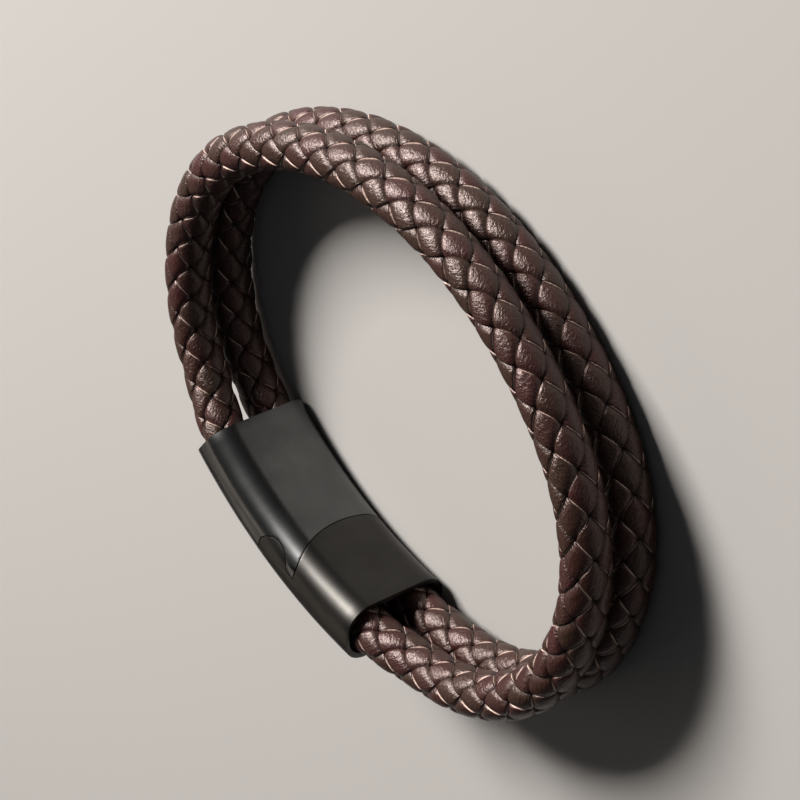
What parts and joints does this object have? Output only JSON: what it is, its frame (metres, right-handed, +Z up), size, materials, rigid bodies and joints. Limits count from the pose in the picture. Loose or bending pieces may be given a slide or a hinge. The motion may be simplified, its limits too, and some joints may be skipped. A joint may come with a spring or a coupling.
{
  "type": "braided leather bracelet",
  "caption": "Double-row bracelet: two round braided leather cords joined by a curved two-part magnetic steel clasp, closed, lying on its side.",
  "frame": {"origin": "middle of the footprint of the bracelet's box, on the surface that it lies on", "axes": "+Z up, along the wrist; +X along the closed clasp, from the hook half to the knob half; +Y from the clasp to the opposite side of the loop"},
  "size_m": [0.0788, 0.0641, 0.0144],
  "materials": {
    "leather": "waxed dark brown, crinkled grain, pale cut edges",
    "clasp_steel": "dark grey plated stainless steel, satin"
  },
  "bodies": {
    "root": {"clasp_hook_half": "clasp_steel", "clasp_knob_half": "clasp_steel", "upper_cord_lace_1": "leather", "upper_cord_lace_2": "leather", "upper_cord_lace_3": "leather", "upper_cord_lace_4": "leather", "upper_cord_lace_5": "leather", "upper_cord_lace_6": "leather", "upper_cord_lace_7": "leather", "upper_cord_lace_8": "leather", "lower_cord_lace_1": "leather", "lower_cord_lace_2": "leather", "lower_cord_lace_3": "leather", "lower_cord_lace_4": "leather", "lower_cord_lace_5": "leather", "lower_cord_lace_6": "leather", "lower_cord_lace_7": "leather", "lower_cord_lace_8": "leather"}
  },
  "joints": []
}
